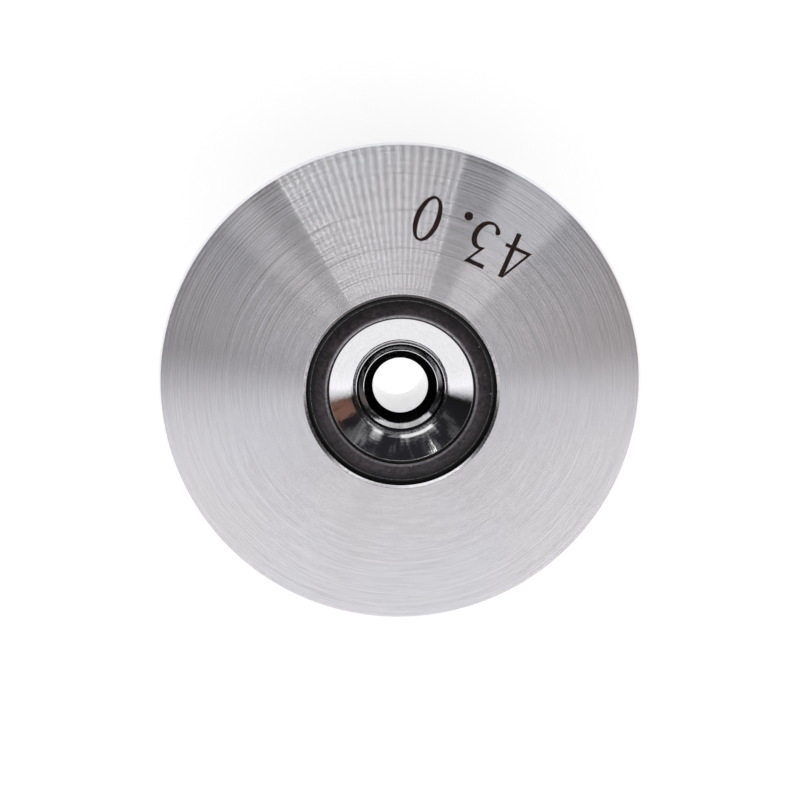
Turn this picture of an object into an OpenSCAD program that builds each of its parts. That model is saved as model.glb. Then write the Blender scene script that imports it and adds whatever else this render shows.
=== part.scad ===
// Wire drawing die: a turned steel case holding a polished carbide nib.
// The die lies on its back face. Z runs along the drawing axis, from the
// back (exit) face at z = 0 up to the front (entry) face at z = case_h.
// Depths are measured down from the front face. Units are millimetres.

/* [Case] */
// Outside diameter of the case
case_d = 43; // [40:0.5:60]
// Height of the case along the drawing axis
case_h = 20; // [19:0.5:26]
// Chamfer on the two outer edges
edge_c = 0.28; // [0.1:0.02:1]

/* [Mouth of the case] */
// Diameter of the open mouth in the front face
mouth_d = 17.06; // [16.9:0.02:19]
// Width of the broken edge around the mouth
mouth_c = 0.22; // [0.05:0.01:0.4]
// Depth of the groove at the foot of the mouth's wall
mouth_depth = 0.75; // [0.6:0.01:0.9]
// Diameter of the crest of the lip pressed over the nib
crest_d = 13.9; // [13.7:0.02:14.4]
// Depth of the lip's crest
crest_depth = 0.46; // [0.41:0.01:0.55]
// Inside diameter of the lip
lip_d = 13.36; // [13.3:0.02:13.6]
// Depth of the lip's inner edge
lip_depth = 0.62; // [0.58:0.01:0.74]

/* [Nib] */
// Outside diameter of the nib and of its seat
nib_d = 16.5; // [15.5:0.1:16.6]
// Height of the nib
nib_h = 15; // [14.6:0.1:15.6]
// Depth of the nib's top face below the front face
nib_depth = 1.2; // [1.1:0.01:1.4]
// Chamfer on the nib's two outer edges
nib_c = 0.5; // [0.2:0.05:0.7]

/* [Bell and approach] */
// Diameter of the bell where it meets the nib's top face
bell_d = 12.98; // [12.6:0.02:13.1]
// Diameter where the bell begins to round into the throat
round_d = 9.32; // [9:0.02:9.8]
// Diameter at the foot of the bell
throat_d = 8.68; // [8.5:0.02:8.9]
// Half angle of the bell at its outer edge
bell_a1 = 58.5; // [56:0.5:62]
// Half angle of the bell where it begins to round
bell_a2 = 56; // [54:0.5:58]
// Diameter at the top of the first land in the approach
land1_d = 8.3; // [8.2:0.02:8.46]
// Diameter at the top of the polished band
band_d = 7.74; // [7.5:0.02:8]
// Diameter at the top of the second land in the approach
land2_d = 6.94; // [6.6:0.02:7.2]
// Width of each land
land_w = 0.06; // [0.03:0.01:0.1]
// Half angle of the lands
land_a = 57; // [50:1:60]
// Diameter at the foot of the approach, where the reduction begins
entry_d = 5.23; // [5.18:0.01:5.6]
// Half angle of the approach above the first land
approach_a1 = 48; // [46:0.5:50]
// Half angle of the approach between the first land and the band
approach_a2 = 44; // [42:0.5:46]
// Half angle of the polished band
band_a = 47.5; // [45:0.5:49]
// Half angle of the approach below the second land
approach_a3 = 38; // [36:0.5:42]

/* [Bore] */
// Finished wire diameter: the bearing of the nib
bore_d = 5.05; // [4.8:0.01:5.15]
// Half angle of the reduction cone
reduction_a = 4; // [3:0.5:8]
// Length of the cylindrical bearing
bearing_l = 5; // [2:0.5:5.5]
// Diameter at the end of the back relief
relief_d = 5.5; // [5.3:0.05:6]
// Height of the exit chamfer at the nib's foot
exit_h = 1.15; // [0.8:0.05:1.5]
// Half angle of the exit chamfer
exit_a = 45; // [30:1:50]

/* [Exit of the case] */
// Diameter of the case's exit hole under the nib
seat_d = 11; // [10:0.1:12]
// Diameter of the exit hole at the back face
back_d = 16; // [13:0.1:18]
// Width of the broken edge around the exit hole
back_c = 0.3; // [0.1:0.05:0.6]

/* [Hidden] */
$fn = 96;

function zd(d) = case_h - d;

nib_top = zd(nib_depth);
nib_foot = nib_top - nib_h;

// A curved stretch of the bell runs from radius r0 to r1 in equal steps while
// its half angle turns evenly from a0 to a1; its points come from these two
bell_steps = 6;
function turn(a0, a1, i) = a0 + (a1 - a0) * (i - 0.5) / bell_steps;
function fall(r0, r1, a0, a1, i) = i == 0 ? 0 :
    fall(r0, r1, a0, a1, i - 1) + (r0 - r1) / bell_steps / tan(turn(a0, a1, i));
function stretch(r0, r1, a0, a1, z, first) =
    [for (i = [first : bell_steps]) [r0 - (r0 - r1) * i / bell_steps, z - fall(r0, r1, a0, a1, i)]];

// Depths that follow from the diameters and the half angles
land_drop = land_w / tan(land_a);
round_z = nib_top - fall(bell_d / 2, round_d / 2, bell_a1, bell_a2, bell_steps);
throat_z = round_z - fall(round_d / 2, throat_d / 2, bell_a2, approach_a1, bell_steps);
land1_z = throat_z - (throat_d - land1_d) / 2 / tan(approach_a1);
band_z = land1_z - land_drop - ((land1_d - band_d) / 2 - land_w) / tan(approach_a2);
land2_z = band_z - (band_d - land2_d) / 2 / tan(band_a);
entry_z = land2_z - land_drop - ((land2_d - entry_d) / 2 - land_w) / tan(approach_a3);
bearing_z = entry_z - (entry_d - bore_d) / 2 / tan(reduction_a);
relief_z = bearing_z - bearing_l;
exit_z = nib_foot + exit_h;
exit_r = relief_d / 2 + exit_h * tan(exit_a);

// The nib's outer form, used for the nib and for its seat in the case
nib_outer = [
    [nib_d / 2 - nib_c, nib_foot],
    [nib_d / 2, nib_foot + nib_c],
    [nib_d / 2, nib_top - nib_c],
    [nib_d / 2 - nib_c, nib_top]
];

// Half section of the passage through the nib, from the top down
nib_inner = concat(
    stretch(bell_d / 2, round_d / 2, bell_a1, bell_a2, nib_top, 0),
    stretch(round_d / 2, throat_d / 2, bell_a2, approach_a1, round_z, 1),
    [
        [land1_d / 2, land1_z],
        [land1_d / 2 - land_w, land1_z - land_drop],
        [band_d / 2, band_z],
        [land2_d / 2, land2_z],
        [land2_d / 2 - land_w, land2_z - land_drop],
        [entry_d / 2, entry_z],
        [bore_d / 2, bearing_z],
        [bore_d / 2, relief_z],
        [relief_d / 2, exit_z],
        [exit_r, nib_foot]
    ]
);

// Turned steel case, with its lip closed over the nib
module case() {
    color("silver")
    rotate_extrude()
    polygon(concat(
        [
            [back_d / 2 + back_c, 0],
            [case_d / 2 - edge_c, 0],
            [case_d / 2, edge_c],
            [case_d / 2, case_h - edge_c],
            [case_d / 2 - edge_c, case_h],
            [mouth_d / 2 + mouth_c, case_h],
            [mouth_d / 2, case_h - mouth_c],
            [mouth_d / 2 - 0.2, zd(mouth_depth)],
            [crest_d / 2, zd(crest_depth)],
            [lip_d / 2, zd(lip_depth)],
            [bell_d / 2 + 0.02, nib_top]
        ],
        [for (i = [3 : -1 : 0]) nib_outer[i]],
        [
            [seat_d / 2, nib_foot],
            [back_d / 2, back_c]
        ]
    ));
}

// Carbide nib: bell, approach, reduction, bearing, back relief and exit
module nib() {
    color("dimgray")
    rotate_extrude()
    polygon(concat(nib_outer, nib_inner));
}

case();
nib();
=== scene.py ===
import bmesh, bpy, math, random
from mathutils import Matrix, Vector

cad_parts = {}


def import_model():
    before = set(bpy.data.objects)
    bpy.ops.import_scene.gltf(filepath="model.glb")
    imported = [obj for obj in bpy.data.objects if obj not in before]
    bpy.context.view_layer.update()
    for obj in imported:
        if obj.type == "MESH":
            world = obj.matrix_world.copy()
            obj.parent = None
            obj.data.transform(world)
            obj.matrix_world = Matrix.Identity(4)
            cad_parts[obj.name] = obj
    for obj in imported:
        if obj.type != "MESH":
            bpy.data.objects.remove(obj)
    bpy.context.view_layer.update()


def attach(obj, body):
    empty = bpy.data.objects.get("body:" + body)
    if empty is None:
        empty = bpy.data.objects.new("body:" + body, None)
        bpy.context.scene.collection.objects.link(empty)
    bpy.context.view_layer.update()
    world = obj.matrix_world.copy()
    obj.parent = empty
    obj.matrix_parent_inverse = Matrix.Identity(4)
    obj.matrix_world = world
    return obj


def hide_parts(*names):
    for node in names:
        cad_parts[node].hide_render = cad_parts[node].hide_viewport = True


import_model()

MM = 0.001
SC = bpy.context.scene
SC.view_settings.view_transform = "Standard"
SC.view_settings.look = "None"
SC.view_settings.exposure = 0.0
SC.view_settings.gamma = 1.0

# ------------------------------------------------------------------ camera
H = 20.0                                # height of the case, mm
CAM_AT = Vector((-2.61, 12.47, 90.03))
CAM_TO = Vector((-0.179, -0.586, H))
CAM_LENS = 36.07


def make_camera():
    w = (CAM_TO - CAM_AT).normalized()
    r = w.cross(Vector((0, 1, 0))).normalized()
    u = r.cross(w)
    data = bpy.data.cameras.new("camera")
    data.lens = CAM_LENS
    data.sensor_width = 36.0
    data.sensor_fit = "HORIZONTAL"
    data.clip_start = 0.002
    data.clip_end = 50.0
    cam = bpy.data.objects.new("camera", data)
    SC.collection.objects.link(cam)
    m = Matrix((r, u, -w)).transposed().to_4x4()
    m.translation = CAM_AT * MM
    cam.matrix_world = m
    SC.camera = cam


make_camera()


# ----------------------------------------------------------- section tools
def corner(p0, p1, p2, rad, steps):
    """Points and normals of the rounded corner p1, seen from outside the loop."""
    a = Vector(p1) - Vector(p0)
    b = Vector(p2) - Vector(p1)
    la, lb = a.length, b.length
    a.normalize()
    b.normalize()
    a1 = math.atan2(a.y, a.x)
    turn = math.atan2(a.x * b.y - a.y * b.x, a.x * b.x + a.y * b.y)
    t = rad * math.tan(abs(turn) / 2)
    lim = 0.45 * min(la, lb)
    if t > lim:
        rad *= lim / t
        t = lim
    s = 1.0 if turn > 0 else -1.0
    start = Vector(p1) - a * t
    c = start + Vector((-a.y, a.x)) * rad * s
    out = []
    for k in range(steps + 1):
        ang = a1 + turn * k / steps
        q = c - Vector((-math.sin(ang), math.cos(ang))) * rad * s
        out.append((q.x, q.y, math.sin(ang), -math.cos(ang)))
    return out


def section(loop):
    """loop holds (r, z, corner radius, arc steps, splits, zone); the last two
    describe the straight that leaves the corner. Gives points with normals
    and the zone of each stretch."""
    n = len(loop)
    arcs = []
    for i in range(n):
        p0, p1, p2 = loop[i - 1], loop[i], loop[(i + 1) % n]
        arcs.append(corner(p0[:2], p1[:2], p2[:2], p1[2], p1[3]))
    pts, zones = [], []
    for i in range(n):
        arc = arcs[i]
        zin, zout = loop[i - 1][5], loop[i][5]
        for k, q in enumerate(arc):
            pts.append(q)
            if k < len(arc) - 1:
                zones.append(zin if k < (len(arc) - 1) / 2 else zout)
        e = arcs[(i + 1) % n][0]
        s = arc[-1]
        m = loop[i][4]
        zones.append(zout)
        for k in range(1, m):
            f = k / m
            pts.append((s[0] + (e[0] - s[0]) * f, s[1] + (e[1] - s[1]) * f, s[2], s[3]))
            zones.append(zout)
    return pts, zones


def lathe(name, pts, zones, seg, mats):
    """Solid of revolution about Z with exact normals; one material per zone."""
    verts, norms, faces, idx = [], [], [], []
    n = len(pts)
    for i in range(seg):
        c, s = math.cos(2 * math.pi * i / seg), math.sin(2 * math.pi * i / seg)
        for r, z, nr, nz in pts:
            verts.append((r * c * MM, r * s * MM, z * MM))
            norms.append((nr * c, nr * s, nz))
    for i in range(seg):
        i2 = (i + 1) % seg
        for j in range(n):
            j2 = (j + 1) % n
            faces.append((i * n + j, i2 * n + j, i2 * n + j2, i * n + j2))
            idx.append(zones[j])
    me = bpy.data.meshes.new(name)
    me.from_pydata(verts, [], faces)
    for m in mats:
        me.materials.append(m)
    me.polygons.foreach_set("material_index", idx)
    me.polygons.foreach_set("use_smooth", [True] * len(faces))
    me.update()
    me.normals_split_custom_set_from_vertices(norms)
    ob = bpy.data.objects.new(name, me)
    SC.collection.objects.link(ob)
    return ob


# --------------------------------------------------------------- materials
class Nodes:
    """Short hand for one material's node tree."""

    def __init__(self, name):
        self.mat = bpy.data.materials.new(name)
        self.mat.use_nodes = True
        self.t = self.mat.node_tree
        self.t.nodes.clear()
        self.out = self.t.nodes.new("ShaderNodeOutputMaterial")
        self.bsdf = self.t.nodes.new("ShaderNodeBsdfPrincipled")
        self.t.links.new(self.bsdf.outputs[0], self.out.inputs[0])

    def put(self, sock, v):
        if isinstance(v, bpy.types.NodeSocket):
            self.t.links.new(v, sock)
        else:
            sock.default_value = v

    def new(self, kind, **kw):
        n = self.t.nodes.new(kind)
        for k, v in kw.items():
            setattr(n, k, v)
        return n

    def math(self, op, a, b=0.0, c=0.0):
        n = self.new("ShaderNodeMath", operation=op)
        for i, v in enumerate((a, b, c)):
            self.put(n.inputs[i], v)
        return n.outputs[0]

    def polar(self):
        """Radius in mm, angle in radians and height in mm of the surface point."""
        tc = self.new("ShaderNodeTexCoord")
        sp = self.new("ShaderNodeSeparateXYZ")
        self.put(sp.inputs[0], tc.outputs["Object"])
        x, y, z = (self.math("MULTIPLY", o, 1000.0) for o in sp.outputs)
        r = self.math("SQRT", self.math("ADD", self.math("MULTIPLY", x, x), self.math("MULTIPLY", y, y)))
        a = self.math("ARCTAN2", y, x)
        return r, a, x, y, z

    def vec(self, x, y, z):
        n = self.new("ShaderNodeCombineXYZ")
        for i, v in enumerate((x, y, z)):
            self.put(n.inputs[i], v)
        return n.outputs[0]

    def noise(self, vec, scale, detail=2.0, rough=0.5):
        n = self.new("ShaderNodeTexNoise", noise_dimensions="3D")
        self.put(n.inputs["Vector"], vec)
        n.inputs["Scale"].default_value = scale
        n.inputs["Detail"].default_value = detail
        n.inputs["Roughness"].default_value = rough
        return n.outputs["Fac"]

    def span(self, v, a, b, c, d):
        n = self.new("ShaderNodeMapRange")
        for i, q in enumerate((v, a, b, c, d)):
            self.put(n.inputs[i], q)
        return n.outputs[0]

    def mix(self, f, a, b, blend="MIX"):
        n = self.new("ShaderNodeMix", data_type="RGBA", blend_type=blend)
        self.put(n.inputs[0], f)
        self.put(n.inputs[6], a)
        self.put(n.inputs[7], b)
        return n.outputs[2]

    def bump(self, h, dist, width=0.1):
        n = self.new("ShaderNodeBump")
        n.inputs["Filter Width"].default_value = width
        n.inputs["Distance"].default_value = dist
        self.put(n.inputs["Height"], h)
        return n.outputs[0]

    def set(self, **kw):
        for k, v in kw.items():
            self.put(self.bsdf.inputs[k.replace("_", " ")], v)


def turned_steel(name, along_z=False, rough=0.11, pitch=0.05, slope=0.36, lines=0.0006, aniso=1.0, pale=1.0):
    """Lathe-turned steel: feed marks and torn hairlines in fine rings about the axis."""
    g = Nodes(name)
    r, a, x, y, z = g.polar()
    run = z if along_z else r
    ca, sa = g.math("COSINE", a), g.math("SINE", a)

    def rings(per_mm, around, seed, detail=2.0, ruf=0.55):
        return g.noise(g.vec(g.math("MULTIPLY_ADD", run, per_mm, seed), g.math("MULTIPLY", ca, around), g.math("MULTIPLY", sa, around)), 1.0, detail, ruf)

    # feed marks: one hollow per turn of the work, each cut a little differently
    drift = g.noise(g.vec(g.math("MULTIPLY", run, 1.1), 0.0, 0.0), 1.0, 2.0, 0.5)
    u = g.math("ADD", g.math("MULTIPLY", run, 1.0 / pitch), g.math("MULTIPLY", drift, 2.5))
    f = g.math("SUBTRACT", g.math("MULTIPLY", g.math("FRACT", u), 2.0), 1.0)
    wn = g.new("ShaderNodeTexWhiteNoise", noise_dimensions="1D")
    g.put(wn.inputs["W"], g.math("FLOOR", u))
    amp = g.span(wn.outputs["Value"], 0.0, 1.0, 0.81, 1.13)
    # torn metal inside the marks: quick across the rings, slow along them
    mid = rings(9.0, 4.0, 11.3, 2.0, 0.65)
    brk = rings(3.4, 5.0, 29.1, 3.0, 0.6)
    # the tool bites deeper in some turns than in others, in a slow beat
    beat = g.math("SINE", g.math("ADD", g.math("MULTIPLY", run, 2 * math.pi / 0.27), g.math("MULTIPLY", drift, 9.0)))
    bite = g.math("ADD", g.span(beat, -1.0, 1.0, 0.85, 1.08), g.span(rings(6.0, 6.0, 17.9, 2.0, 0.7), 0.34, 0.66, -0.03, 0.03))
    cusp = g.math("MULTIPLY", g.math("MULTIPLY", g.math("MULTIPLY", f, f), amp), bite)
    grain = g.noise(g.vec(x, y, z), 6.5, 2.0, 0.7)
    tint = g.noise(g.vec(g.math("MULTIPLY", x, 0.07), g.math("MULTIPLY", y, 0.07), g.math("MULTIPLY", z, 0.07)), 1.0, 2.0, 0.5)
    shade = g.math("ADD", g.span(mid, 0.3, 0.7, -0.03, 0.03), g.span(brk, 0.35, 0.65, -0.018, 0.018))
    shade = g.math("ADD", shade, g.span(grain, 0.3, 0.7, -0.03, 0.03))
    base = g.mix(g.span(tint, 0.35, 0.65, 0.0, 1.0), (0.650 * pale, 0.632 * pale, 0.640 * pale, 1), (0.630 * pale, 0.632 * pale, 0.655 * pale, 1))
    gain = g.math("ADD", 1.0, shade)
    col = g.mix(1.0, base, g.vec(gain, gain, gain), "MULTIPLY")
    g.set(Base_Color=col, Metallic=1.0)
    g.set(Roughness=g.math("ADD", rough, g.math("MULTIPLY", shade, 0.3)))
    if aniso:
        g.bsdf.inputs["Anisotropic"].default_value = aniso
        g.bsdf.inputs["Anisotropic Rotation"].default_value = 0.25
        tg = g.new("ShaderNodeTangent", direction_type="RADIAL", axis="Z")
        g.put(g.bsdf.inputs["Tangent"], tg.outputs[0])
    hgt = g.math("MULTIPLY", cusp, slope * pitch / 4.0)
    hgt = g.math("ADD", hgt, g.math("MULTIPLY", mid, lines))
    g.set(Normal=g.bump(hgt, MM, 0.01))
    return g.mat


def scale_black(name):
    """Warm black heat scale of the mouth, rubbed along the lip and with a few bright specks; painted
    shade darkens it towards the outer groove and makes it black in the gap beside the nib and in the groove."""
    g = Nodes(name)
    r, a, x, y, z = g.polar()
    v = g.vec(x, y, z)
    big = g.noise(v, 0.7, 3.0, 0.55)
    fine = g.noise(v, 6.0, 3.0, 0.65)
    ring = g.noise(g.vec(g.math("MULTIPLY", r, 5.0), g.math("COSINE", a), g.math("SINE", a)), 2.0, 2.0, 0.6)
    mott = g.noise(v, 2.6, 4.0, 0.7)
    f = g.math("ADD", g.span(big, 0.38, 0.62, 0.0, 0.35), g.span(mott, 0.40, 0.60, 0.0, 0.65))
    f = g.math("ADD", f, g.span(ring, 0.40, 0.60, 0.0, 0.3))
    # painted shade: the scale is darker towards the outer groove and lighter towards the crest
    f = g.math("MULTIPLY", f, g.span(r, BEAD_R - 0.06, CREST_R, 0.15, 1.25))
    col = g.mix(f, (0.0022, 0.0016, 0.0019, 1), (0.050, 0.0415, 0.0465, 1))
    lip = g.math("MULTIPLY", g.span(r, LIP_R + 0.26, LIP_R + 0.08, 0.0, 1.0), g.span(r, LIP_R - 0.02, LIP_R + 0.01, 0.0, 1.0))
    lip = g.math("MULTIPLY", lip, g.span(fine, 0.32, 0.56, 0.25, 1.0))
    bead = g.math("MULTIPLY", g.span(r, BEAD_R - 0.06, BEAD_R - 0.02, 0.0, 1.0), g.span(r, BEAD_R + 0.06, BEAD_R + 0.02, 0.0, 1.0))
    bead = g.math("MULTIPLY", bead, g.span(fine, 0.36, 0.60, 0.05, 0.55))
    cells = g.new("ShaderNodeTexVoronoi", voronoi_dimensions="3D", feature="F1")
    g.put(cells.inputs["Vector"], v)
    cells.inputs["Scale"].default_value = 0.9
    speck = g.math("MULTIPLY", g.span(cells.outputs["Distance"], 0.075, 0.045, 0.0, 1.0), g.span(fine, 0.42, 0.5, 0.0, 1.0))
    light = g.math("MAXIMUM", g.math("MAXIMUM", lip, bead), speck)
    col = g.mix(light, col, (0.34, 0.33, 0.34, 1))
    # painted shade: near black in the gap beside the nib and in the outer groove
    gap = g.span(r, LIP_R - 0.01, LIP_R - 0.03, 0.0, 1.0)
    gap = g.math("MAXIMUM", gap, g.span(r, BEAD_R + 0.05, BEAD_R + 0.10, 0.0, 1.0))
    col = g.mix(gap, col, (0.004, 0.0035, 0.004, 1))
    g.set(Base_Color=col, Metallic=light)
    g.set(Roughness=g.span(fine, 0.3, 0.7, 0.34, 0.60))
    g.bsdf.inputs["Specular IOR Level"].default_value = 0.28
    g.set(Normal=g.bump(g.math("ADD", fine, g.math("MULTIPLY", ring, 0.5)), 0.03 * MM))
    return g.mat


def mouth_break(name):
    """Broken edge of the mouth, with a painted highlight along its -Y side and painted shade along its +Y side."""
    g = Nodes(name)
    r, a, x, y, z = g.polar()
    fine = g.noise(g.vec(x, y, z), 5.0, 3.0, 0.65)
    # painted highlight and shade: nearly white towards -Y and dark towards +Y, with a ragged border between them
    t = g.math("ADD", g.math("SINE", a), g.span(fine, 0.3, 0.7, -0.25, 0.25))
    f = g.span(t, -0.9, 0.9, 0.0, 1.0)
    col = g.mix(f, (0.97, 0.96, 0.97, 1), (0.14, 0.13, 0.13, 1))
    g.set(Base_Color=col, Metallic=1.0, Roughness=g.span(fine, 0.3, 0.7, 0.18, 0.36))
    g.set(Normal=g.bump(fine, 0.004 * MM))
    return g.mat


def polished_carbide(name, rough=0.035, tone=1.0):
    """Mirror-lapped carbide with hairline lapping marks around the axis."""
    g = Nodes(name)
    r, a, x, y, z = g.polar()
    ca, sa = g.math("COSINE", a), g.math("SINE", a)
    hair = g.noise(g.vec(g.math("MULTIPLY", r, 8.0), g.math("MULTIPLY", ca, 2.0), g.math("MULTIPLY", sa, 2.0)), 2.5, 3.0, 0.65)
    spots = g.noise(g.vec(x, y, z), 4.0, 4.0, 0.65)
    f = g.math("ADD", g.span(hair, 0.4, 0.6, 0.0, 0.5), g.span(spots, 0.45, 0.7, 0.0, 0.5))
    col = g.mix(f, (0.66 * tone, 0.655 * tone, 0.66 * tone, 1), (0.58 * tone, 0.575 * tone, 0.585 * tone, 1))
    g.set(Base_Color=col, Metallic=1.0)
    g.set(Roughness=g.span(hair, 0.35, 0.7, rough * 0.6, rough * 1.8))
    wave = g.noise(g.vec(g.math("MULTIPLY", r, 1.6), g.math("MULTIPLY", ca, 6.0), g.math("MULTIPLY", sa, 6.0)), 1.0, 3.0, 0.6)
    hgt = g.math("ADD", hair, g.math("MULTIPLY", spots, 0.6))
    g.set(Normal=g.bump(g.math("ADD", hgt, g.math("MULTIPLY", wave, 7.0)), 0.0008 * MM))
    return g.mat


def throat_dark(name):
    """Approach of the nib: coloured near black, scuffed at its top."""
    g = Nodes(name)
    r, a, x, y, z = g.polar()
    v = g.vec(x, y, z)
    fine = g.noise(v, 9.0, 3.0, 0.65)
    hair = g.noise(g.vec(g.math("MULTIPLY", r, 9.0), g.math("COSINE", a), g.math("SINE", a)), 2.0, 3.0, 0.6)
    col = g.mix(g.span(hair, 0.4, 0.65, 0.0, 1.0), (0.012, 0.011, 0.013, 1), (0.035, 0.033, 0.037, 1))
    scuff = g.math("MULTIPLY", g.span(r, R1 - 0.02, R1 + 0.02, 0.0, 1.0), g.span(fine, 0.40, 0.62, 0.1, 1.0))
    col = g.mix(scuff, col, (0.36, 0.35, 0.36, 1))
    g.set(Base_Color=col, Metallic=1.0, Roughness=g.span(fine, 0.3, 0.7, 0.16, 0.34))
    g.set(Normal=g.bump(g.math("ADD", hair, fine), 0.002 * MM))
    return g.mat


# -------------------------------------------------------------------- case
CASE_R, EDGE = 21.5, 0.28
TOP = H - 0.004                         # front face, with room for the mark on it
MOUTH_R, MOUTH_C, MOUTH_D = 8.53, 0.22, 0.75
BEAD_R = 8.16
CREST_R, CREST_D = 6.95, 0.46
LIP_R, LIP_D = 6.68, 0.62
NIB_R, NIB_D, NIB_H, NIB_C = 8.25, 1.20, 15.0, 0.5
NIB_TOP = H - NIB_D
NIB_FOOT = NIB_TOP - NIB_H
BELL_R, ROUND_R, THROAT_R = 6.49, 4.66, 4.34
BELL_A, BELL_B = 58.5, 56.0
R1, RC, R2, LAND_W, LAND_A = 4.15, 3.87, 3.47, 0.06, 57.0
ENTRY_R, BORE_R, RELIEF_R = 2.615, 2.525, 2.75
A1, A2, AC, A3, RED_A = 48.0, 44.0, 47.5, 38.0, 4.0
BEARING_L, EXIT_H = 5.0, 1.15
SEAT_R, BACK_R, BACK_C = 5.5, 8.0, 0.3


def tan(d):
    return math.tan(math.radians(d))


m_face = turned_steel("steel_turned_face")
m_side = turned_steel("steel_turned_side", along_z=True, pale=0.86)
m_edge = turned_steel("steel_edge", rough=0.22, slope=0.04, lines=0.001, aniso=0.6, pale=1.45)
m_scale = scale_black("scale_black")
m_break = mouth_break("mouth_break")
m_nib = polished_carbide("carbide_polished", tone=0.93)
m_throat = throat_dark("carbide_throat")

FACE, SIDE, EDGEZ, SCALE, BREAK = 0, 1, 2, 3, 4
case_loop = [
    # r, z, corner radius, arc steps, splits, zone
    (BACK_R + BACK_C, 0.0, 0.03, 3, 12, FACE),
    (CASE_R - EDGE, 0.0, 0.04, 3, 2, EDGEZ),
    (CASE_R, EDGE, 0.04, 3, 10, SIDE),
    (CASE_R, H - EDGE, 0.12, 5, 2, EDGEZ),
    (CASE_R - EDGE, TOP, 0.04, 3, 24, FACE),
    (MOUTH_R + MOUTH_C, TOP, 0.05, 4, 2, BREAK),
    (MOUTH_R, H - MOUTH_C, 0.05, 4, 2, SCALE),
    (MOUTH_R - 0.2, H - MOUTH_D, 0.12, 4, 8, SCALE),
    (CREST_R, H - CREST_D, 0.6, 8, 3, SCALE),
    (LIP_R, H - LIP_D, 0.08, 5, 3, SCALE),
    (BELL_R + 0.02, NIB_TOP, 0.01, 1, 1, SCALE),
    (NIB_R - NIB_C, NIB_TOP, 0.01, 1, 1, SCALE),
    (NIB_R, NIB_TOP - NIB_C, 0.01, 1, 2, SCALE),
    (NIB_R, NIB_FOOT + NIB_C, 0.01, 1, 1, SCALE),
    (NIB_R - NIB_C, NIB_FOOT, 0.01, 1, 1, SCALE),
    (SEAT_R, NIB_FOOT, 0.05, 3, 4, SIDE),
    (BACK_R, BACK_C, 0.05, 3, 2, EDGEZ),
]
pts, zones = section(case_loop)
case = lathe("case_turned", pts, zones, 512, [m_face, m_side, m_edge, m_scale, m_break])
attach(case, "root")
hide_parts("case")

# -------------------------------------------------------------- size mark
# The case's diameter in plain figures, burnt dark into the front face. Each
# figure is made of flat ribbons drawn about its own middle, 4 mm high.
MARK_AT = Vector((10.53, 11.53))
MARK_DIR = math.radians(156.5)
MARK_DEEP = 0.05


def stroke(pts):
    """Left and right edge of a line; pts holds (x, y, half width in, half width out)."""
    out = []
    n = len(pts)
    for i, (px, py, w0, w1) in enumerate(pts):
        p = Vector((px, py))
        d0 = (p - Vector(pts[i - 1][:2])).normalized() if i else None
        d1 = (Vector(pts[i + 1][:2]) - p).normalized() if i < n - 1 else None
        d0, d1 = d0 or d1, d1 or d0
        n0, n1 = Vector((-d0.y, d0.x)), Vector((-d1.y, d1.x))
        det = n0.x * n1.y - n0.y * n1.x
        if abs(det) < 0.05:
            q = (n0 + n1).normalized() * (w0 + w1) / 2
        else:
            q = Vector(((w0 * n1.y - w1 * n0.y) / det, (w1 * n0.x - w0 * n1.x) / det))
        out.append((p + q, p - q))
    return out


def smooth(pts, per):
    """Catmull-Rom curve through (x, y, half width)."""
    out = []
    n = len(pts)
    for i in range(n - 1):
        a, b, c, d = (Vector(pts[min(max(k, 0), n - 1)]) for k in (i - 1, i, i + 1, i + 2))
        for j in range(per):
            t = j / per
            out.append(0.5 * (2 * b + (c - a) * t + (2 * a - 5 * b + 4 * c - d) * t * t + (3 * b - a - 3 * c + d) * t ** 3))
    out.append(Vector(pts[-1]))
    return [(v.x, v.y, v.z, v.z) for v in out]


def figure_three():
    bowl = smooth([(-0.12, 0.42, 0.11), (0.22, 0.47, 0.14), (0.60, 0.30, 0.21),
                   (0.86, -0.12, 0.24), (0.90, -0.66, 0.24), (0.74, -1.24, 0.22), (0.38, -1.68, 0.165),
                   (-0.08, -1.86, 0.125), (-0.48, -1.78, 0.12), (-0.74, -1.52, 0.18), (-0.82, -1.34, 0.24)], 5)
    end = Vector(bowl[-1][:2])
    way = (end - Vector(bowl[-2][:2])).normalized()
    cap = [(end.x + way.x * 0.24 * math.sin(k), end.y + way.y * 0.24 * math.sin(k), 0.24 * math.cos(k), 0.24 * math.cos(k))
           for k in (0.45, 0.85, 1.2, 1.5)]
    return [stroke([(-0.90, 1.81, 0.19, 0.19), (0.0, 1.81, 0.19, 0.19), (0.70, 1.81, 0.19, 0.11)] + bowl + cap)]


def figure_four():
    left, right, low = 0.20, 0.64, -0.72
    stem = stroke([(0.42, 2.0, 0.22, 0.22), (0.42, 0.0, 0.22, 0.22), (0.42, -2.0, 0.22, 0.22)])
    arm = stroke([(left, 1.74, 0.11, 0.11), (-1.10, low, 0.11, 0.15), (left, low, 0.15, 0.15)])
    way = (Vector((-1.10, low)) - Vector((left, 1.74))).normalized()
    arm[0] = tuple(p + way * ((left - p.x) / way.x) for p in arm[0])
    return [stem, arm, stroke([(right, low, 0.15, 0.15), (1.14, low, 0.15, 0.15)])]


def figure_nought():
    out = []
    for i in range(72):
        t = 2 * math.pi * i / 72
        c, q = math.cos(t), math.sin(t)
        out.append((Vector((1.10 * c, 2.0 * q)), Vector((0.65 * c, 1.77 * q))))
    return [out + out[:1]]


def figure_point():
    out = []
    for i in range(25):
        t = -math.pi / 2 + math.pi * i / 24
        y, w = 0.37 * math.sin(t), 0.37 * math.cos(t)
        out.append((Vector((-w, y)), Vector((w, y))))
    return [out[1:-1]]


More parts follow.
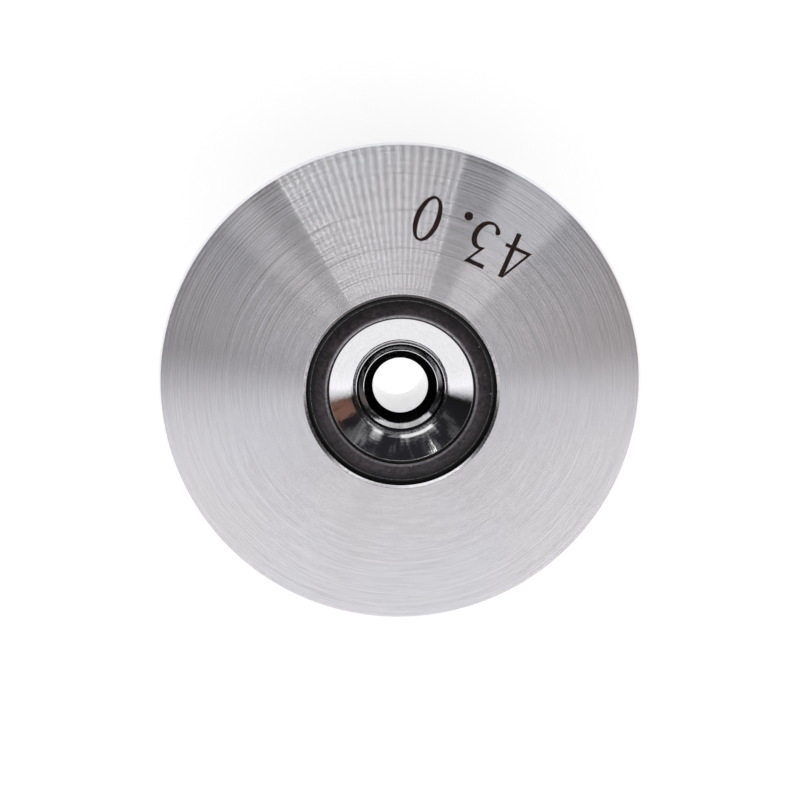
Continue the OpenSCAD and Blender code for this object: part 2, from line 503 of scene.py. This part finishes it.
def size_mark():
    rnd = random.Random(7)
    u = Vector((math.cos(MARK_DIR), math.sin(MARK_DIR)))
    w = Vector((-u.y, u.x))
    verts, faces = [], []
    for make, along, rise in ((figure_four, 0.9, 0.0), (figure_three, 3.9, 0.0), (figure_point, 5.95, -1.6), (figure_nought, 9.1, 0.0)):
        for rib in make():
            ring = (rib[0][0] - rib[-1][0]).length < 1e-6
            if ring:
                rib = rib[:-1]
            n, base = len(rib), len(verts)
            for pair in rib:
                for p in pair:
                    q = MARK_AT + u * (p.x + along + rnd.gauss(0, 0.008)) + w * (p.y + rise + rnd.gauss(0, 0.008))
                    verts.append((q.x * MM, q.y * MM, (H - 0.001) * MM))
                    verts.append((q.x * MM, q.y * MM, (H - MARK_DEEP) * MM))

            def v(i, side, low):
                return base + (i % n) * 4 + side * 2 + low

            for i in range(n if ring else n - 1):
                j = i + 1
                faces.append((v(i, 0, 0), v(i, 1, 0), v(j, 1, 0), v(j, 0, 0)))
                faces.append((v(i, 0, 1), v(j, 0, 1), v(j, 1, 1), v(i, 1, 1)))
                faces.append((v(i, 0, 0), v(j, 0, 0), v(j, 0, 1), v(i, 0, 1)))
                faces.append((v(i, 1, 0), v(i, 1, 1), v(j, 1, 1), v(j, 1, 0)))
            if not ring:
                faces.append((v(0, 0, 0), v(0, 0, 1), v(0, 1, 1), v(0, 1, 0)))
                faces.append((v(n - 1, 0, 0), v(n - 1, 1, 0), v(n - 1, 1, 1), v(n - 1, 0, 1)))
    me = bpy.data.meshes.new("size_mark")
    me.from_pydata(verts, [], faces)
    bm = bmesh.new()
    bm.from_mesh(me)
    bmesh.ops.recalc_face_normals(bm, faces=bm.faces)
    bm.to_mesh(me)
    bm.free()
    me.materials.append(burnt_mark("mark_burnt"))
    ob = bpy.data.objects.new("size_mark", me)
    SC.collection.objects.link(ob)
    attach(ob, "root")


def burnt_mark(name):
    """Dark brown burn of the mark, uneven and with a trace of the steel's sheen."""
    g = Nodes(name)
    r, a, x, y, z = g.polar()
    v = g.vec(x, y, z)
    big = g.noise(v, 1.6, 3.0, 0.6)
    fine = g.noise(v, 9.0, 3.0, 0.65)
    f = g.math("ADD", g.span(big, 0.35, 0.65, 0.0, 0.55), g.span(fine, 0.35, 0.65, 0.0, 0.45))
    col = g.mix(f, (0.009, 0.0042, 0.0036, 1), (0.030, 0.0165, 0.0145, 1))
    thin = g.span(fine, 0.64, 0.74, 0.0, 0.5)
    col = g.mix(thin, col, (0.20, 0.16, 0.15, 1))
    g.set(Base_Color=col, Metallic=0.0, Roughness=g.span(fine, 0.3, 0.7, 0.45, 0.7))
    g.bsdf.inputs["Specular IOR Level"].default_value = 0.12
    g.set(Normal=g.bump(fine, 0.01 * MM))
    return g.mat


size_mark()

# --------------------------------------------------------------------- nib
bell = [(BELL_R, NIB_TOP)]
for r0, r1, a0, a1, n in ((BELL_R, ROUND_R, BELL_A, BELL_B, 6), (ROUND_R, THROAT_R, BELL_B, A1, 6)):
    for i in range(n):
        q = (r0 - r1) / n
        bell.append((bell[-1][0] - q, bell[-1][1] - q / tan(a0 + (a1 - a0) * (i + 0.5) / n)))
z0 = bell[-1][1]
z1 = z0 - (THROAT_R - R1) / tan(A1)
z1b = z1 - LAND_W / tan(LAND_A)
zc = z1b - (R1 - LAND_W - RC) / tan(A2)
z2 = zc - (RC - R2) / tan(AC)
z2b = z2 - LAND_W / tan(LAND_A)
ze = z2b - (R2 - LAND_W - ENTRY_R) / tan(A3)
zb = ze - (ENTRY_R - BORE_R) / tan(RED_A)
zr = zb - BEARING_L
zx = NIB_FOOT + EXIT_H
nib_loop = [
    (NIB_R - NIB_C, NIB_FOOT, 0.02, 2, 1, 0),
    (NIB_R, NIB_FOOT + NIB_C, 0.02, 2, 2, 0),
    (NIB_R, NIB_TOP - NIB_C, 0.02, 2, 1, 0),
    (NIB_R - NIB_C, NIB_TOP, 0.02, 2, 2, 0),
    (BELL_R, NIB_TOP, 0.06, 5, 1, 0),
]
nib_loop += [(r, q, 3.0, 3, 1, 0) for r, q in bell[1:-1]]
nib_loop += [
    (THROAT_R, z0, 0.02, 2, 2, 1),
    (R1, z1, 0.008, 2, 1, 0),
    (R1 - LAND_W, z1b, 0.008, 2, 2, 1),
    (RC, zc, 0.01, 2, 3, 0),
    (R2, z2, 0.008, 2, 1, 0),
    (R2 - LAND_W, z2b, 0.008, 2, 4, 1),
    (ENTRY_R, ze, 0.1, 6, 4, 0),
    (BORE_R, zb, 0.3, 3, 8, 0),
    (BORE_R, zr, 0.3, 3, 6, 0),
    (RELIEF_R, zx, 0.05, 3, 4, 0),
    (RELIEF_R + EXIT_H, NIB_FOOT, 0.03, 3, 3, 0),
]
pts, zones = section(nib_loop)
nib = lathe("nib_polished", pts, zones, 384, [m_nib, m_throat])
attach(nib, "root")
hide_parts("nib")


# ------------------------------------------------------- floor and lighting
FLOOR_GLOW = 0.77


def pale(name, base, glow):
    g = Nodes(name)
    g.set(Base_Color=(base, base, base, 1), Roughness=0.8)
    g.bsdf.inputs["Specular IOR Level"].default_value = 0.0
    g.bsdf.inputs["Emission Color"].default_value = (1, 1, 1, 1)
    g.bsdf.inputs["Emission Strength"].default_value = glow
    return g.mat


def stage_disc(name, rows, mat, low):
    """Surface of revolution about Z; rows holds (radius, height) in metres."""
    seg = 96
    verts, faces = [], []
    for r, q in rows:
        for i in range(seg):
            t = 2 * math.pi * i / seg
            verts.append((r * math.cos(t), r * math.sin(t), q))
    for k in range(len(rows) - 1):
        for i in range(seg):
            i2 = (i + 1) % seg
            faces.append((k * seg + i, k * seg + i2, (k + 1) * seg + i2, (k + 1) * seg + i))
    faces.append(tuple(range(seg))[::-1])
    me = bpy.data.meshes.new(name)
    me.from_pydata(verts, [], faces)
    ob = bpy.data.objects.new(name, me)
    SC.collection.objects.link(ob)
    ob.location.z = low
    me.materials.append(mat)
    return ob


# the floor, brighter under the bore, and a pale screen far around it that only
# the camera sees
stage_disc("floor_light", [(0.001, 0.0), (0.0075, 0.0)], pale("floor_light", 0.9, 0.78), -0.00001)
stage_disc("floor", [(0.02, 0.0), (0.2, 0.0), (1.0, 0.0), (2.5, 0.0)], pale("floor_pale", 0.38, FLOOR_GLOW), -0.00002)
screen = stage_disc("screen", [(0.01, 2.5)] + [(2.5 * math.cos(math.radians(a)), 2.5 * math.sin(math.radians(a))) for a in (80, 65, 50, 35, 20, 8, 0)], pale("screen_pale", 0.0, 1.0), -0.001)
screen.visible_diffuse = screen.visible_glossy = screen.visible_transmission = screen.visible_shadow = False


def world():
    """Pale table in front of the die, dark room behind, two dim ceiling panels."""
    w = bpy.data.worlds.new("studio")
    SC.world = w
    w.use_nodes = True
    t = w.node_tree
    t.nodes.clear()
    out = t.nodes.new("ShaderNodeOutputWorld")
    bg = t.nodes.new("ShaderNodeBackground")
    tc = t.nodes.new("ShaderNodeTexCoord")
    sp = t.nodes.new("ShaderNodeSeparateXYZ")
    t.links.new(tc.outputs["Generated"], sp.inputs[0])

    def put(sock, v):
        if isinstance(v, bpy.types.NodeSocket):
            t.links.new(v, sock)
        else:
            sock.default_value = v

    def m(op, a, b=0.0, c=0.0):
        n = t.nodes.new("ShaderNodeMath")
        n.operation = op
        for i, v in enumerate((a, b, c)):
            put(n.inputs[i], v)
        return n.outputs[0]

    def step(v, lo, hi):
        n = t.nodes.new("ShaderNodeMapRange")
        n.interpolation_type = "SMOOTHSTEP"
        put(n.inputs[0], v)
        n.inputs[1].default_value, n.inputs[2].default_value = lo, hi
        return n.outputs[0]

    def window(v, lo, hi, soft):
        return m("MULTIPLY", step(v, lo - soft, lo + soft), m("SUBTRACT", 1.0, step(v, hi - soft, hi + soft)))

    x, y, z = sp.outputs
    lean = m("DIVIDE", y, m("MAXIMUM", z, m("MULTIPLY_ADD", z, -1.38, 1.0)))
    ramp = t.nodes.new("ShaderNodeValToRGB")
    put(ramp.inputs[0], m("MULTIPLY_ADD", lean, 0.5, 0.5))
    e = ramp.color_ramp.elements
    e[0].position, e[0].color = 0.0, (1.4, 1.4, 1.42, 1)
    e[1].position, e[1].color = 1.0, (0.03, 0.03, 0.036, 1)
    for at, v in TABLE:
        n = e.new(at * 0.5 + 0.5)
        n.color = (v, v * 0.99, v * 1.02, 1)
    az = m("MULTIPLY", m("ARCTAN2", y, x), 180 / math.pi)
    glow = None
    for a0, a1, z0, z1, v in PANELS:
        q = m("MULTIPLY", m("MULTIPLY", window(az, a0, a1, 3.0), window(z, z0, z1, 0.05)), v)
        glow = q if glow is None else m("ADD", glow, q)
    # a straight row of 22 lamps above the die, and a soft panel on each side of it
    c = m("DIVIDE", m("SUBTRACT", x, 0.036), m("ADD", m("MAXIMUM", y, 0.0), 0.173))
    k = m("DIVIDE", m("SUBTRACT", 0.2475, c), 0.039)
    spot = m("ABSOLUTE", m("SUBTRACT", m("FRACT", m("ADD", k, 0.5)), 0.5))
    spot = m("MULTIPLY_ADD", m("SUBTRACT", 1.0, step(spot, 0.03, 0.18)), 0.85, 0.06)
    spot = m("MULTIPLY", spot, m("MULTIPLY_ADD", step(k, -1.0, 12.0), 0.3, 0.7))
    spot = m("MULTIPLY", spot, window(k, -0.5, 21.5, 0.05))
    high = m("MULTIPLY", window(y, 0.34, 0.64, 0.05), step(z, 0.0, 0.1))
    side = window(y, 0.22, 0.50, 0.05)
    up = step(z, 0.68, 0.76)
    lobes = m("MULTIPLY", window(c, 0.48, 0.94, 0.06), SIDE_R)
    lobes = m("ADD", lobes, m("MULTIPLY", window(c, -1.06, -0.77, 0.07), SIDE_L))
    glow = m("ADD", glow, m("MULTIPLY", m("MULTIPLY", spot, high), LAMP))
    glow = m("ADD", glow, m("MULTIPLY", lobes, m("MULTIPLY", side, up)))
    # faint uneven light in the dark room
    nz = t.nodes.new("ShaderNodeTexNoise")
    put(nz.inputs["Vector"], tc.outputs["Generated"])
    nz.inputs["Scale"].default_value = 5.0
    nz.inputs["Detail"].default_value = 4.0
    nz.inputs["Roughness"].default_value = 0.65
    room = m("MULTIPLY", step(nz.outputs["Fac"], 0.45, 0.72), m("MULTIPLY", step(y, 0.2, 0.5), ROOM))
    glow = m("ADD", glow, m("MULTIPLY", room, m("SUBTRACT", 1.0, step(z, 0.70, 0.80))))
    mix = t.nodes.new("ShaderNodeMix")
    mix.data_type = "RGBA"
    mix.blend_type = "ADD"
    mix.inputs[0].default_value = 1.0
    put(mix.inputs[6], ramp.outputs[0])
    cmb = t.nodes.new("ShaderNodeCombineXYZ")
    for i in range(3):
        put(cmb.inputs[i], glow)
    put(mix.inputs[7], cmb.outputs[0])
    warm = m("MULTIPLY", m("MULTIPLY", window(az, -4, 20, 6.0), window(z, 0.42, 0.72, 0.06)), step(nz.outputs["Fac"], 0.40, 0.56))
    tone = t.nodes.new("ShaderNodeMix")
    tone.data_type = "RGBA"
    tone.blend_type = "ADD"
    put(tone.inputs[0], warm)
    put(tone.inputs[6], mix.outputs[2])
    tone.inputs[7].default_value = (0.27, 0.13, 0.095, 1)
    put(bg.inputs[0], tone.outputs[2])
    bg.inputs[1].default_value = 1.0
    t.links.new(bg.outputs[0], out.inputs[0])


# brightness of the surroundings by lean (y over z, softer near the horizon), and
# bright panels by azimuth range, height range and strength
LAMP, SIDE_R, SIDE_L, ROOM = 6.1, 0.92, 0.58, 0.35
TABLE = ((-0.45, 1.58), (-0.25, 1.05), (-0.17, 0.63), (-0.10, 0.25), (-0.05, 0.05), (0.0, 0.015))
PANELS = (
    (37, 143, 0.14, 0.31, 1.0),
    (48, 61, 0.34, 0.55, 1.25),
    (88, 136, 0.34, 0.55, 1.25),
    (-20, 38, 0.70, 0.93, 0.22),
    (150, 190, 0.70, 0.93, 0.14),
)
world()
